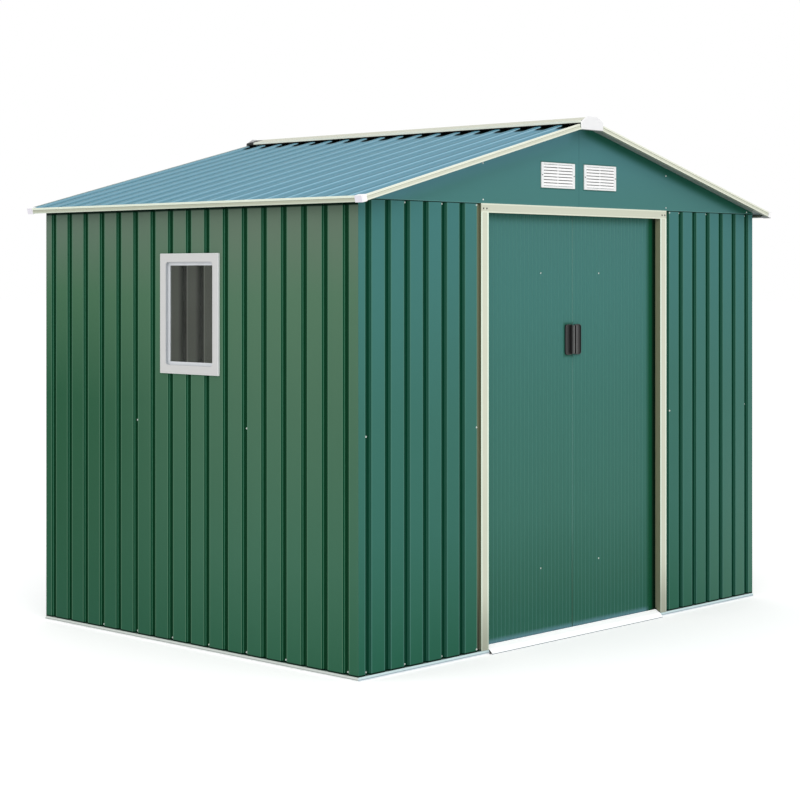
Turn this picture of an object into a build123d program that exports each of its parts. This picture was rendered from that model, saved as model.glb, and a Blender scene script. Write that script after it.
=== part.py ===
import os
from math import cos, hypot, radians, sin, tan

from build123d import *

# Green sheet-metal garden shed with a gable roof, a sliding double door and one side window.
# Millimetres, +Z up, ground level at z = 0, the door front faces -Y, the window wall is at -X.
os.makedirs("parts", exist_ok=True)

# Body
body_width = 2417
body_depth = 1708
wall_top = 1621
sheet = 0.8
fit_gap = 0.3
overrun = 5

# Pressed grooves of the wall and roof sheets
groove_depth = 8.5
groove_mouth = 28
groove_floor = 19
front_groove_count = 25
side_groove_count = 17
side_first_groove = 58
side_groove_pitch = 100
roof_rib_count = 18

# Roof
roof_pitch = 14.4
side_overhang = 46
end_overhang = 62
eave_lift = 5.5
ridge_gap = 24
trim_sheet = 1.0
trim_height = 18
trim_lip = 4.5
trim_channel = 1.2
trim_top_lap = 9
trim_foot_lap = 13
ridge_cap_half = 66
ridge_cap_lip = 7
ridge_cap_stand = 5
ridge_cap_return = 10
ridge_cap_sheet = 1.2
end_cap_half = 67
end_cap_flat = 30
end_cap_foot_drop = 38
end_cap_shoulder_drop = 7
end_cap_rise = 14
end_cap_thickness = 5
end_cap_bevel = 2
corner_cap_length = 34
corner_cap_rake = 19
corner_cap_wall = 1.6
corner_cap_bevel = 4
beam_width = 40
beam_height = 32
beam_sheet = 1.2
beam_place_share = 0.5
ridge_beam_width = 30

# Base rails
rail_sheet = 1.2
rail_height = 16
rail_bend_height = 8
rail_lip = 3
rail_flange = 55
rail_upstand = 5.5

# Top rails and mid rails
top_rail_drop = 24
top_rail_shelf = 46
mid_rail_level = 815
mid_rail_height = 36
mid_rail_flange = 12
mid_rail_depth = 24
front_mid_rail_depth = 9
mid_rail_corner_gap = 60

# Door frame
frame_half_width = 574
frame_face = 41.5
frame_sheet = 1.0
frame_proud = 2.3
frame_return_depth = 16
frame_wall_lap = 1.5
header_face = 33

# Sliding doors
door_recess = 23.5
door_depth = 16
door_gap = 5
door_meeting = -5
door_lap = 21
door_foot = 26
door_head_drop = 20
door_rib_count = 24
door_rib_width = 7
door_rib_depth = 1.4
brace_height = 34
brace_depth = 11
lower_brace_level = 268
upper_brace_level = 1367
hanger_length = 60
hanger_setback = 3
hanger_web_gap = 1
hanger_height = 11
hanger_place_share = 0.3

# Handles
handle_height = 115
handle_width = 45
handle_level = 1119
handle_floor = 2.5
handle_rim = 10
handle_rim_reach = 6
handle_grip = 9
handle_reach = 16
handle_slope = 3

# Door tracks and ramp
track_sheet = 1.2
track_front = 15
track_back = 53
track_ledge = 4.5
track_end_gap = 52
lower_track_front_lip = 20
lower_track_back_lip = 34
upper_track_lip = 24
ramp_reach = 16
ramp_nose = 2.5
ramp_bend_reach = 1.5
ramp_bend_rise = 0.3
ramp_back = 18
ramp_top = 26.7
ramp_hook = 5
ramp_side_gap = 3

# Gable
gable_proud = 2
gable_flange = 40
gable_flange_end_gap = 60
gable_seam_flange = 14

# Vents
vent_width = 203
vent_height = 95
vent_centre = 130.5
vent_level = 1735.5
vent_plate = 4
vent_border = 12
vent_slat_count = 6
vent_slat_sheet = 1.8
vent_slat_depth = 13
vent_slat_tilt = 45
vent_mullion = 4
vent_wall = 2
vent_back = 8

# Window
window_from_front = 849
window_head_drop = 178.5
window_width = 320
window_height = 441.5
window_border = 32
window_flange = 8
window_flange_bevel = 1.5
window_recess = 12
window_rim_bevel = 1.5
window_rebate = 12
window_rebate_sheet = 3
window_hole_lap = 20
window_collar_depth = 14
window_corner = 12
pane_lap = 6
pane_thickness = 3

# Worked-out places
half_width = body_width / 2
half_depth = body_depth / 2
seat = groove_depth + sheet
side_wall_top = wall_top + eave_lift
slope = radians(roof_pitch)
rise_share = tan(slope)
roof_floor_at_wall = side_wall_top + fit_gap
ridge_floor = roof_floor_at_wall + half_width * rise_share
ridge_level = ridge_floor + seat / cos(slope)
eave_run = (half_width + side_overhang) / cos(slope)
roof_edge = half_depth + end_overhang
front_groove_pitch = body_width / front_groove_count
rail_top = rail_height + rail_upstand
door_face = -half_depth + door_recess
door_back = door_face + door_depth
frame_inner = frame_half_width - frame_face
header_foot = wall_top - header_face
door_head = wall_top - door_head_drop
leaf_outer = frame_inner + door_lap
sheet_end = frame_half_width - frame_wall_lap
jamb_foot = rail_height + fit_gap
jamb_return_foot = rail_top + frame_sheet


def keep(piece, name):
    piece.part.label = name
    export_step(piece.part, f"parts/{name}.step")


def folded(points, thickness):
    """Closed outline of a sheet folded along points, its thickness on the left of their run."""
    normals = []
    for (x0, y0), (x1, y1) in zip(points, points[1:]):
        run = hypot(x1 - x0, y1 - y0)
        normals.append(((y0 - y1) / run, (x1 - x0) / run))
    back = []
    for place, (x, y) in enumerate(points):
        ax, ay = normals[max(place - 1, 0)]
        bx, by = normals[min(place, len(normals) - 1)]
        reach = thickness / (1 + ax * bx + ay * by)
        back.append((x + (ax + bx) * reach, y + (ay + by) * reach))
    return points + back[::-1]


def ribbed(start, stop, centres, flat_level, rib_level):
    """Run of a sheet from start to stop with a trapezoid rib or groove at each centre."""
    run = []
    for centre in centres:
        run.append((centre - groove_mouth / 2, flat_level))
        run.append((centre - groove_floor / 2, rib_level))
        run.append((centre + groove_floor / 2, rib_level))
        run.append((centre + groove_mouth / 2, flat_level))

    def level_at(place):
        inside = any(abs(place - centre) <= groove_floor / 2 for centre in centres)
        return rib_level if inside else flat_level

    within = [point for point in run if start < point[0] < stop]
    return [(start, level_at(start))] + within + [(stop, level_at(stop))]


def on_front(points):
    return [(u, -half_depth - v) for u, v in points]


def on_back(points):
    return [(u, half_depth + v) for u, v in points]


def on_left(points):
    return [(-half_width - v, u) for u, v in points]


def on_right(points):
    return [(half_width + v, u) for u, v in points]


def front_places(section):
    return [(-half_depth - u, z) for u, z in section]


def back_places(section):
    return [(half_depth + u, z) for u, z in section]


def left_places(section):
    return [(-half_width - u, z) for u, z in section]


def right_places(section):
    return [(half_width + u, z) for u, z in section]


def mitred_rail(section, side, outer, inner):
    """A folded rail along one side of the body, its ends mitred into the next sides."""
    along_x = side in ("front", "back")
    places = {
        "front": front_places,
        "back": back_places,
        "left": left_places,
        "right": right_places,
    }[side]
    sign = -1 if side in ("front", "left") else 1
    across = half_depth if along_x else half_width
    length = half_width if along_x else half_depth
    corners = [
        (-length - outer, sign * (across + outer)),
        (length + outer, sign * (across + outer)),
        (length - inner, sign * (across - inner)),
        (-length + inner, sign * (across - inner)),
    ]
    plan = corners if along_x else [(y, x) for x, y in corners]
    with BuildPart() as rail:
        with BuildSketch(Plane.YZ if along_x else Plane.XZ):
            Polygon(*places(section), align=None)
        extrude(amount=length + outer, both=True)
        with BuildSketch(Plane.XY):
            Polygon(*plan, align=None)
        extrude(amount=ridge_level, mode=Mode.INTERSECT)
    return rail


# Base rails: a flange on the ground, a bent outer face, a shelf for the sheets and an upstand behind them
base_section = folded(
    [
        (-rail_flange, 0),
        (rail_lip, 0),
        (rail_lip, rail_bend_height),
        (0, rail_height),
        (-seat, rail_height),
        (-seat, rail_top),
    ],
    rail_sheet,
)
for side in ("front", "back", "left", "right"):
    keep(mitred_rail(base_section, side, rail_lip, rail_flange), f"base_rail_{side}")

# Top rails: an upright behind the sheets and a shelf under the gable or the eave
for side in ("front", "back", "left", "right"):
    level = wall_top if side in ("front", "back") else side_wall_top
    top_section = folded(
        [(-seat, wall_top - top_rail_drop), (-seat, level), (-seat - top_rail_shelf, level)], rail_sheet
    )
    keep(mitred_rail(top_section, side, 0, seat + top_rail_shelf), f"top_rail_{side}")

# Wall sheets
half_grooves = front_groove_count // 2
front_grooves = [i * front_groove_pitch for i in range(-half_grooves, half_grooves + 1)]
side_grooves = [-half_depth + side_first_groove + i * side_groove_pitch for i in range(side_groove_count)]

for side, start, stop in (
    ("left", -half_width, -sheet_end),
    ("right", sheet_end, half_width),
):
    with BuildPart() as front_wall:
        with BuildSketch(Plane.XY.offset(rail_height)):
            front_run = ribbed(start, stop, front_grooves, 0, -groove_depth)
            Polygon(*on_front(folded(front_run, -sheet)), align=None)
        extrude(amount=wall_top - rail_height)
    keep(front_wall, f"front_wall_{side}")

with BuildPart() as back_wall:
    with BuildSketch(Plane.XY.offset(rail_height)):
        back_run = ribbed(-half_width, half_width, front_grooves, 0, -groove_depth)
        Polygon(*on_back(folded(back_run, -sheet)), align=None)
    extrude(amount=wall_top - rail_height)
keep(back_wall, "back_wall")

window_centre = -half_depth + window_from_front
window_middle = wall_top - window_head_drop - window_height / 2
hole_width = window_width - 2 * window_hole_lap
hole_height = window_height - 2 * window_hole_lap
side_run = ribbed(-half_depth + sheet, half_depth - sheet, side_grooves, 0, -groove_depth)

with BuildPart() as left_wall:
    with BuildSketch(Plane.XY.offset(rail_height)):
        Polygon(*on_left(folded(side_run, -sheet)), align=None)
    extrude(amount=side_wall_top - rail_height)
    with Locations((-half_width, window_centre, window_middle)):
        Box(2 * seat + overrun, hole_width, hole_height, mode=Mode.SUBTRACT)
keep(left_wall, "left_wall")

with BuildPart() as right_wall:
    with BuildSketch(Plane.XY.offset(rail_height)):
        Polygon(*on_right(folded(side_run, -sheet)), align=None)
    extrude(amount=side_wall_top - rail_height)
keep(right_wall, "right_wall")


# Mid rails: hat channels that stiffen the walls from inside, open towards the sheets
def hat_section(depth):
    low = mid_rail_level - mid_rail_height / 2
    high = mid_rail_level + mid_rail_height / 2
    return folded(
        [
            (-seat, low - mid_rail_flange),
            (-seat, low),
            (-seat - depth + rail_sheet, low),
            (-seat - depth + rail_sheet, high),
            (-seat, high),
            (-seat, high + mid_rail_flange),
        ],
        rail_sheet,
    )


mid_rail_half = half_width - mid_rail_corner_gap
side_mid_half = half_depth - mid_rail_corner_gap
with BuildPart() as mid_rails:
    with BuildSketch(Plane.YZ):
        Polygon(*back_places(hat_section(mid_rail_depth)), align=None)
    extrude(amount=mid_rail_half, both=True)
    with BuildSketch(Plane.XZ):
        Polygon(*left_places(hat_section(mid_rail_depth)), align=None)
        Polygon(*right_places(hat_section(mid_rail_depth)), align=None)
    extrude(amount=side_mid_half, both=True)
    for side in (-1, 1):
        with BuildSketch(Plane.YZ.offset(side * (frame_half_width + mid_rail_half) / 2)):
            Polygon(*front_places(hat_section(front_mid_rail_depth)), align=None)
        extrude(amount=(mid_rail_half - frame_half_width) / 2, both=True)
keep(mid_rails, "mid_rails")

# Door frame: two folded jambs that close the last wall groove, and a header between gable and jambs
for side, name in ((-1, "left_jamb"), (1, "right_jamb")):
    with BuildPart() as jamb:
        jamb_run = [
            (side * frame_half_width, groove_depth - half_depth),
            (side * frame_half_width, -half_depth - frame_proud),
            (side * frame_inner, -half_depth - frame_proud),
            (side * frame_inner, -half_depth + frame_return_depth),
        ]
        with BuildSketch(Plane.XY.offset(jamb_foot)):
            Polygon(*folded(jamb_run, -side * frame_sheet), align=None)
        extrude(amount=header_foot - jamb_foot)
        with BuildSketch(Plane.XY.offset(jamb_foot)):
            face_centre = side * (frame_half_width + frame_inner) / 2
            with Locations((face_centre, -half_depth - frame_proud + frame_sheet)):
                Rectangle(
                    frame_face + overrun,
                    frame_proud + frame_return_depth,
                    align=(Align.CENTER, Align.MIN),
                )
        extrude(amount=jamb_return_foot - jamb_foot, mode=Mode.SUBTRACT)
        with BuildSketch(Plane.XY.offset(header_foot)):
            with Locations((side * (frame_half_width - frame_sheet / 2), groove_depth - half_depth)):
                Rectangle(
                    frame_sheet,
                    groove_depth + frame_proud - frame_sheet,
                    align=(Align.CENTER, Align.MAX),
                )
        extrude(amount=wall_top - header_foot)
    keep(jamb, name)

with BuildPart() as door_header:
    header_run = [
        (groove_depth - half_depth, wall_top),
        (-half_depth - frame_proud, wall_top),
        (-half_depth - frame_proud, header_foot),
        (-half_depth + frame_return_depth, header_foot),
    ]
    with BuildSketch(Plane.YZ):
        Polygon(*folded(header_run, frame_sheet), align=None)
    extrude(amount=frame_half_width, both=True)
    for side in (-1, 1):
        with Locations((side * frame_half_width, -half_depth - frame_proud + frame_sheet, header_foot)):
            Box(
                2 * (frame_half_width - sheet_end + fit_gap),
                2 * (frame_proud + frame_return_depth),
                2 * header_face + overrun,
                align=(Align.CENTER, Align.MIN, Align.CENTER),
                mode=Mode.SUBTRACT,
            )
keep(door_header, "door_header")

# Door tracks: a channel on the base flange, and one under the top rail with a ledge that carries the hangers
with BuildPart() as lower_track:
    lower_run = [
        (-half_depth + track_front, rail_sheet + lower_track_front_lip),
        (-half_depth + track_front, rail_sheet),
        (-half_depth + track_back + track_sheet, rail_sheet),
        (-half_depth + track_back + track_sheet, lower_track_back_lip),
    ]
    with BuildSketch(Plane.YZ):
        Polygon(*folded(lower_run, track_sheet), align=None)
    extrude(amount=half_width - track_end_gap, both=True)
keep(lower_track, "door_track_lower")

upper_track_top = wall_top - rail_sheet
track_ledge_foot = door_head - fit_gap - track_sheet
with BuildPart() as upper_track:
    upper_run = [
        (-half_depth + track_front, upper_track_top - upper_track_lip),
        (-half_depth + track_front, upper_track_top),
        (-half_depth + track_back + track_sheet, upper_track_top),
        (-half_depth + track_back + track_sheet, track_ledge_foot),
        (-half_depth + track_back - track_ledge, track_ledge_foot),
    ]
    with BuildSketch(Plane.YZ):
        Polygon(*folded(upper_run, -track_sheet), align=None)
    extrude(amount=half_width - track_end_gap, both=True)
keep(upper_track, "door_track_upper")

# Ramp: a folded sill over the base rail in the doorway
with BuildPart() as ramp:
    ramp_run = [
        (-half_depth - ramp_reach, 0),
        (-half_depth - ramp_reach, ramp_nose),
        (-half_depth - ramp_bend_reach, rail_height + ramp_bend_rise),
        (-half_depth + ramp_back, ramp_top),
        (-half_depth + ramp_back, ramp_top - ramp_hook),
    ]
    with BuildSketch(Plane.YZ):
        Polygon(*folded(ramp_run, rail_sheet), align=None)
    extrude(amount=frame_inner - ramp_side_gap, both=True)
keep(ramp, "door_ramp")

# Sliding doors: finely ribbed pans that meet beside the middle, with braces behind and hangers on top
for side, name in ((-1, "left_door"), (1, "right_door")):
    leaf_start = -leaf_outer if side < 0 else door_meeting
    leaf_stop = door_meeting - door_gap if side < 0 else leaf_outer
    leaf_width = leaf_stop - leaf_start
    leaf_centre = leaf_start + leaf_width / 2
    door_rib_pitch = leaf_width / door_rib_count
    rib_run = []
    for rib in range(door_rib_count):
        rib_centre = leaf_start + door_rib_pitch * (rib + 1 / 2)
        rib_run.append((rib_centre - door_rib_width / 2, door_face))
        rib_run.append((rib_centre, door_face + door_rib_depth))
        rib_run.append((rib_centre + door_rib_width / 2, door_face))
    first_edge = [(leaf_start, door_back), (leaf_start, door_face)]
    pan_run = first_edge + rib_run + [(leaf_stop, door_face), (leaf_stop, door_back)]
    with BuildPart() as leaf:
        with BuildSketch(Plane.XY.offset(door_foot)):
            Polygon(*folded(pan_run, sheet), align=None)
        extrude(amount=door_head - door_foot)
        for level in (door_foot, door_head - sheet):
            with BuildSketch(Plane.XY.offset(level)):
                with Locations((leaf_centre, door_face + door_rib_depth)):
                    Rectangle(leaf_width, door_depth - door_rib_depth, align=(Align.CENTER, Align.MIN))
            extrude(amount=sheet)
    keep(leaf, name)

    brace_front = door_face + door_rib_depth + sheet + fit_gap
    with BuildPart() as fittings:
        for level in (lower_brace_level, upper_brace_level):
            brace_run = [
                (brace_front + brace_depth, level - brace_height / 2),
                (brace_front, level - brace_height / 2),
                (brace_front, level + brace_height / 2),
                (brace_front + brace_depth, level + brace_height / 2),
            ]
            with BuildSketch(Plane.YZ.offset(leaf_centre)):
                Polygon(*folded(brace_run, -rail_sheet), align=None)
            extrude(amount=leaf_width / 2 - sheet - fit_gap, both=True)
        hanger_front = door_face + hanger_setback
        hanger_depth = -half_depth + track_back - hanger_web_gap - hanger_front
        for share in (-hanger_place_share, hanger_place_share):
            with BuildSketch(Plane.XY.offset(door_head)):
                with Locations((leaf_centre + share * leaf_width, hanger_front)):
                    Rectangle(hanger_length, hanger_depth, align=(Align.CENTER, Align.MIN))
            extrude(amount=hanger_height)
    keep(fittings, f"{name}_fittings")

    handle_inner = leaf_stop - sheet if side < 0 else leaf_start + sheet
    handle_run = [
        (0, 0),
        (0, handle_reach - handle_slope),
        (handle_slope, handle_reach),
        (handle_grip, handle_reach),
        (handle_grip, handle_floor),
        (handle_width - handle_rim, handle_floor),
        (handle_width - handle_rim, handle_rim_reach),
        (handle_width - handle_slope, handle_rim_reach),
        (handle_width, handle_rim_reach - handle_slope),
        (handle_width, 0),
    ]
    with BuildPart() as handle:
        with BuildSketch(Plane.XY.offset(handle_level - handle_height / 2)):
            Polygon(*[(handle_inner + side * u, door_face - v) for u, v in handle_run], align=None)
        extrude(amount=handle_height)
        handle_ends = handle.faces().filter_by(Axis.Z).sort_by(Axis.Z)
        for end_face in (handle_ends[0], handle_ends[-1]):
            chamfer(end_face.edges().filter_by(Axis.X).group_by(Axis.Y)[0], length=handle_slope)
    keep(handle, f"{name}_handle")

# Gables: flat sheets on the wall heads, folded in below and at the centre seam, cut out behind the vents
vent_hole_width = vent_width - 2 * vent_border
vent_hole_height = vent_height - 2 * vent_border


def roof_floor(x):
    return roof_floor_at_wall + (half_width - abs(x)) * rise_share


gable_face = half_depth + gable_proud
for end, end_name in ((-1, "front"), (1, "back")):
    for side, side_name in ((-1, "left"), (1, "right")):
        gable_plan = [
            (0, wall_top),
            (side * half_width, wall_top),
            (side * half_width, roof_floor(half_width) - fit_gap),
            (0, roof_floor(0) - fit_gap),
        ]
        gable_plane = Plane(origin=(0, end * gable_face, 0), x_dir=(1, 0, 0), z_dir=(0, -1, 0))
        flange_end = half_width - gable_flange_end_gap
        with BuildPart() as gable:
            with BuildSketch(gable_plane):
                Polygon(*gable_plan, align=None)
                with Locations((side * vent_centre, vent_level)):
                    Rectangle(vent_hole_width, vent_hole_height, mode=Mode.SUBTRACT)
            extrude(amount=end * sheet)
            with BuildSketch(Plane.XY.offset(wall_top)):
                with Locations((side * flange_end / 2, end * (gable_face - gable_flange / 2))):
                    Rectangle(flange_end, gable_flange)
            extrude(amount=sheet)
            with BuildSketch(gable_plane):
                with Locations((side * sheet / 2, wall_top)):
                    seam_height = roof_floor(0) - wall_top - beam_height - beam_width
                    Rectangle(sheet, seam_height, align=(Align.CENTER, Align.MIN))
            extrude(amount=end * gable_seam_flange)
        keep(gable, f"{end_name}_gable_{side_name}")

# Vents: a bordered plate and a collar through the gable, with tilted slats and a thin middle bar
vent_collar_width = vent_hole_width - 2 * fit_gap
vent_collar_height = vent_hole_height - 2 * fit_gap
vent_mouth_width = vent_collar_width - 2 * vent_wall
vent_mouth_height = vent_collar_height - 2 * vent_wall
slat_pitch = vent_mouth_height / vent_slat_count
for end, end_name in ((-1, "front"), (1, "back")):
    with BuildPart() as vents:
        for side in (-1, 1):
            vent_place = (side * vent_centre, end * gable_face, vent_level)
            vent_plane = Plane(origin=vent_place, x_dir=(-end, 0, 0), z_dir=(0, end, 0))
            with BuildSketch(vent_plane):
                Rectangle(vent_width, vent_height)
            extrude(amount=vent_plate)
            with BuildSketch(vent_plane):
                Rectangle(vent_collar_width, vent_collar_height)
            extrude(amount=-vent_back)
            with BuildSketch(vent_plane.offset(vent_plate)):
                Rectangle(vent_mouth_width, vent_mouth_height)
            extrude(amount=-vent_plate - vent_back, mode=Mode.SUBTRACT)
            with Locations(vent_plane.offset((vent_plate - vent_back) / 2).location):
                with GridLocations(0, slat_pitch, 1, vent_slat_count):
                    with Locations(Rotation(vent_slat_tilt, 0, 0)):
                        Box(vent_mouth_width + vent_wall, vent_slat_sheet, vent_slat_depth)
            with BuildSketch(vent_plane.offset(-vent_back)):
                Rectangle(vent_mullion, vent_mouth_height + vent_wall)
            extrude(amount=vent_mullion)
    keep(vents, f"{end_name}_vents")


# Roof: two ribbed slopes, each described along its own fall line from the ridge
def fall_line(side):
    return Vector(side * cos(slope), 0, -sin(slope))


def roof_normal(side):
    return Vector(side * sin(slope), 0, cos(slope))


ridge_point = Vector(0, 0, ridge_level)


def slope_section_plane(side, run):
    """Plane across a slope at a distance run from the ridge: first axis side * Y, second the roof normal."""
    return Plane(origin=ridge_point + fall_line(side) * run, x_dir=(0, side, 0), z_dir=fall_line(side))


def slope_profile_plane(side):
    """Plane along a slope: first axis down the slope, second the roof normal."""
    return Plane(origin=ridge_point, x_dir=fall_line(side), z_dir=(0, -side, 0))


def slope_face_plane(side, level):
    """Plane on a slope at a level above the rib tops: first axis down the slope, second side * Y."""
    place = ridge_point + roof_normal(side) * level
    return Plane(origin=place, x_dir=fall_line(side), z_dir=roof_normal(side))


def trim_run(edge):
    """Run of a trim over a roof edge: a lap on the ribs, a face pressed back between two lips, a foot."""
    return [
        (edge - trim_top_lap, fit_gap),
        (edge, fit_gap),
        (edge, -trim_lip),
        (edge - trim_channel, -trim_lip - trim_channel),
        (edge - trim_channel, trim_lip + trim_channel - trim_height),
        (edge, trim_lip - trim_height),
        (edge, -trim_height),
        (edge - trim_foot_lap, -trim_height),
    ]


roof_half = roof_edge - trim_channel - fit_gap
roof_rib_pitch = 2 * roof_half / roof_rib_count
roof_ribs = [-roof_half + i * roof_rib_pitch for i in range(roof_rib_count + 1)]
roof_run_end = eave_run - trim_channel - fit_gap
cap_start = eave_run - corner_cap_rake
cap_edge = roof_edge - corner_cap_length
rake_start = (end_cap_half + fit_gap) / cos(slope) + trim_height * rise_share

for side, name in ((-1, "left"), (1, "right")):
    with BuildPart() as roof:
        with BuildSketch(slope_section_plane(side, ridge_gap)):
            Polygon(*folded(ribbed(-roof_half, roof_half, roof_ribs, -groove_depth, 0), -sheet), align=None)
        extrude(amount=roof_run_end - ridge_gap)
    keep(roof, f"roof_{name}")

    with BuildPart() as eave_trim:
        with BuildSketch(slope_profile_plane(side)):
            Polygon(*folded(trim_run(eave_run), trim_sheet), align=None)
        extrude(amount=cap_edge, both=True)
    keep(eave_trim, f"eave_trim_{name}")

    for end, end_name in ((-1, "front"), (1, "back")):
        rake_section = [(side * end * y, v) for y, v in folded(trim_run(roof_edge), trim_sheet)]
        with BuildPart() as rake_trim:
            with BuildSketch(slope_section_plane(side, rake_start)):
                Polygon(*rake_section, align=None)
            extrude(amount=cap_start - rake_start)
        keep(rake_trim, f"{end_name}_rake_trim_{name}")

# Corner caps: hollow moulded corners that close the eave and rake trims
cap_shell = trim_sheet + corner_cap_wall
cap_run = eave_run + cap_shell
cap_out = roof_edge + cap_shell
cap_low = -trim_height - cap_shell
cap_high = fit_gap + cap_shell
with BuildPart() as corner_caps:
    for side in (-1, 1):
        for end in (-1, 1):
            turn = side * end
            cap_plan = [
                (cap_start, turn * cap_edge),
                (cap_run, turn * cap_edge),
                (cap_run, turn * (cap_out - corner_cap_bevel)),
                (cap_run - corner_cap_bevel, turn * cap_out),
                (cap_start, turn * cap_out),
            ]
            with BuildSketch(slope_face_plane(side, cap_low)):
                Polygon(*cap_plan, align=None)
            extrude(amount=cap_high - cap_low)
            hollow_plan = [
                (cap_start - overrun, turn * (cap_edge - overrun)),
                (eave_run, turn * (cap_edge - overrun)),
                (eave_run, turn * roof_edge),
                (cap_start - overrun, turn * roof_edge),
            ]
            with BuildSketch(slope_face_plane(side, -trim_height)):
                Polygon(*hollow_plan, align=None)
            extrude(amount=trim_height + fit_gap, mode=Mode.SUBTRACT)
keep(corner_caps, "eave_corner_caps")

# Ridge cap: a folded sheet with side lips and feet turned in to stand on the ribs, closed by end caps
cap_line = ridge_level + fit_gap / cos(slope)
with BuildPart() as ridge_cap:
    foot_place = ridge_cap_half - ridge_cap_return
    lip_foot = cap_line - ridge_cap_half * rise_share + ridge_cap_stand
    half_run = [
        (foot_place, cap_line - foot_place * rise_share),
        (foot_place, lip_foot),
        (ridge_cap_half, lip_foot),
        (ridge_cap_half, lip_foot + ridge_cap_lip),
    ]
    ridge_top = cap_line + ridge_cap_stand + ridge_cap_lip
    ridge_run = half_run + [(0, ridge_top)] + [(-x, z) for x, z in half_run[::-1]]
    with BuildSketch(Plane.XZ):
        Polygon(*folded(ridge_run, -ridge_cap_sheet), align=None)
    extrude(amount=roof_edge, both=True)
keep(ridge_cap, "ridge_cap")

with BuildPart() as end_caps:
    end_cap_plan = [
        (-end_cap_half, ridge_level - end_cap_foot_drop),
        (end_cap_half, ridge_level - end_cap_foot_drop),
        (end_cap_half, ridge_level - end_cap_shoulder_drop),
        (end_cap_flat, ridge_level + end_cap_rise),
        (-end_cap_flat, ridge_level + end_cap_rise),
        (-end_cap_half, ridge_level - end_cap_shoulder_drop),
    ]
    for end in (-1, 1):
        with BuildSketch(Plane.XZ.offset(-end * roof_edge)):
            Polygon(*end_cap_plan, align=None)
        extrude(amount=-end * end_cap_thickness)
    outer_faces = end_caps.faces().filter_by(Axis.Y).sort_by(Axis.Y)
    chamfer(outer_faces[0].edges() + outer_faces[-1].edges(), length=end_cap_bevel)
keep(end_caps, "ridge_end_caps")

# Roof beams: channels from gable to gable under the ridge and under the middle of each slope
beam_half = half_depth + gable_proud - sheet
with BuildPart() as roof_beams:
    for side in (-1, 1):
        beam_run = eave_run * beam_place_share
        beam_points = [
            (beam_run - beam_width / 2, -seat - fit_gap - beam_height),
            (beam_run - beam_width / 2, -seat - fit_gap),
            (beam_run + beam_width / 2, -seat - fit_gap),
            (beam_run + beam_width / 2, -seat - fit_gap - beam_height),
        ]
        with BuildSketch(slope_profile_plane(side)):
            Polygon(*folded(beam_points, -beam_sheet), align=None)
        extrude(amount=beam_half, both=True)
    ridge_beam_top = roof_floor(ridge_beam_width / 2) - fit_gap
    ridge_points = [
        (-ridge_beam_width / 2, ridge_beam_top - beam_height),
        (-ridge_beam_width / 2, ridge_beam_top),
        (ridge_beam_width / 2, ridge_beam_top),
        (ridge_beam_width / 2, ridge_beam_top - beam_height),
    ]
    with BuildSketch(Plane.XZ):
        Polygon(*folded(ridge_points, -beam_sheet), align=None)
    extrude(amount=beam_half, both=True)
keep(roof_beams, "roof_beams")

# Window: a moulded frame with a flange on the sheet, a collar through it and a pane behind a set-back rebate
rim_width = window_width - 2 * window_border
rim_height = window_height - 2 * window_border
sight_width = rim_width - 2 * window_rebate
sight_height = rim_height - 2 * window_rebate
rebate_level = window_flange - window_recess
window_plane = Plane(
    origin=(-half_width, window_centre, window_middle), x_dir=(0, -1, 0), z_dir=(-1, 0, 0)
)
with BuildPart() as window_frame:
    with BuildSketch(window_plane):
        Rectangle(window_width, window_height)
    extrude(amount=window_flange)
    chamfer(window_frame.faces().sort_by(Axis.X)[0].edges(), length=window_flange_bevel)
    with BuildSketch(window_plane):
        Rectangle(hole_width - 2 * fit_gap, hole_height - 2 * fit_gap)
    extrude(amount=-window_collar_depth)
    with BuildSketch(window_plane.offset(rebate_level)):
        RectangleRounded(rim_width, rim_height, window_corner)
    extrude(amount=window_recess, mode=Mode.SUBTRACT)
    front_rim = window_frame.faces().sort_by(Axis.X)[0].inner_wires()[0]
    chamfer(front_rim.edges(), length=window_rim_bevel)
    with BuildSketch(window_plane.offset(rebate_level)):
        Rectangle(sight_width, sight_height)
    extrude(amount=-window_collar_depth, mode=Mode.SUBTRACT)
    with BuildSketch(window_plane.offset(rebate_level - window_rebate_sheet)):
        Rectangle(sight_width + 2 * pane_lap, sight_height + 2 * pane_lap)
    extrude(amount=-window_collar_depth, mode=Mode.SUBTRACT)
keep(window_frame, "window_frame")

with BuildPart() as window_pane:
    with BuildSketch(window_plane.offset(rebate_level - window_rebate_sheet)):
        Rectangle(sight_width + 2 * (pane_lap - fit_gap), sight_height + 2 * (pane_lap - fit_gap))
    extrude(amount=-pane_thickness)
keep(window_pane, "window_pane")
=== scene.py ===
import math

import bmesh
import bpy
from mathutils import Matrix, Vector


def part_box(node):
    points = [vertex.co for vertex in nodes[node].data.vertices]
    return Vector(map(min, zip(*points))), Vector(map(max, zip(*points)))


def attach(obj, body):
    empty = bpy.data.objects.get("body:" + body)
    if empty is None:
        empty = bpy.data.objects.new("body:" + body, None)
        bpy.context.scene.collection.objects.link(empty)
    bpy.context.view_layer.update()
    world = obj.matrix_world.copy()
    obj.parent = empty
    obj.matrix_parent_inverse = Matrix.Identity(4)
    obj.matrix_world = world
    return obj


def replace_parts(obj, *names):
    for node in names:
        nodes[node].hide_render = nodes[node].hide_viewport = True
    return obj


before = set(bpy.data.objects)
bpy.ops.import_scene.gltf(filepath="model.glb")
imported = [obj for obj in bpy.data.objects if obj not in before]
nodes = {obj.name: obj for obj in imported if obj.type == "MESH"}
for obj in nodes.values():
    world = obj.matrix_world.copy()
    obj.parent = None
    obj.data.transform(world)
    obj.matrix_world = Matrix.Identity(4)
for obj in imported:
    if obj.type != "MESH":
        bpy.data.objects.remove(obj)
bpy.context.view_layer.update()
mm = 0.001


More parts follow.
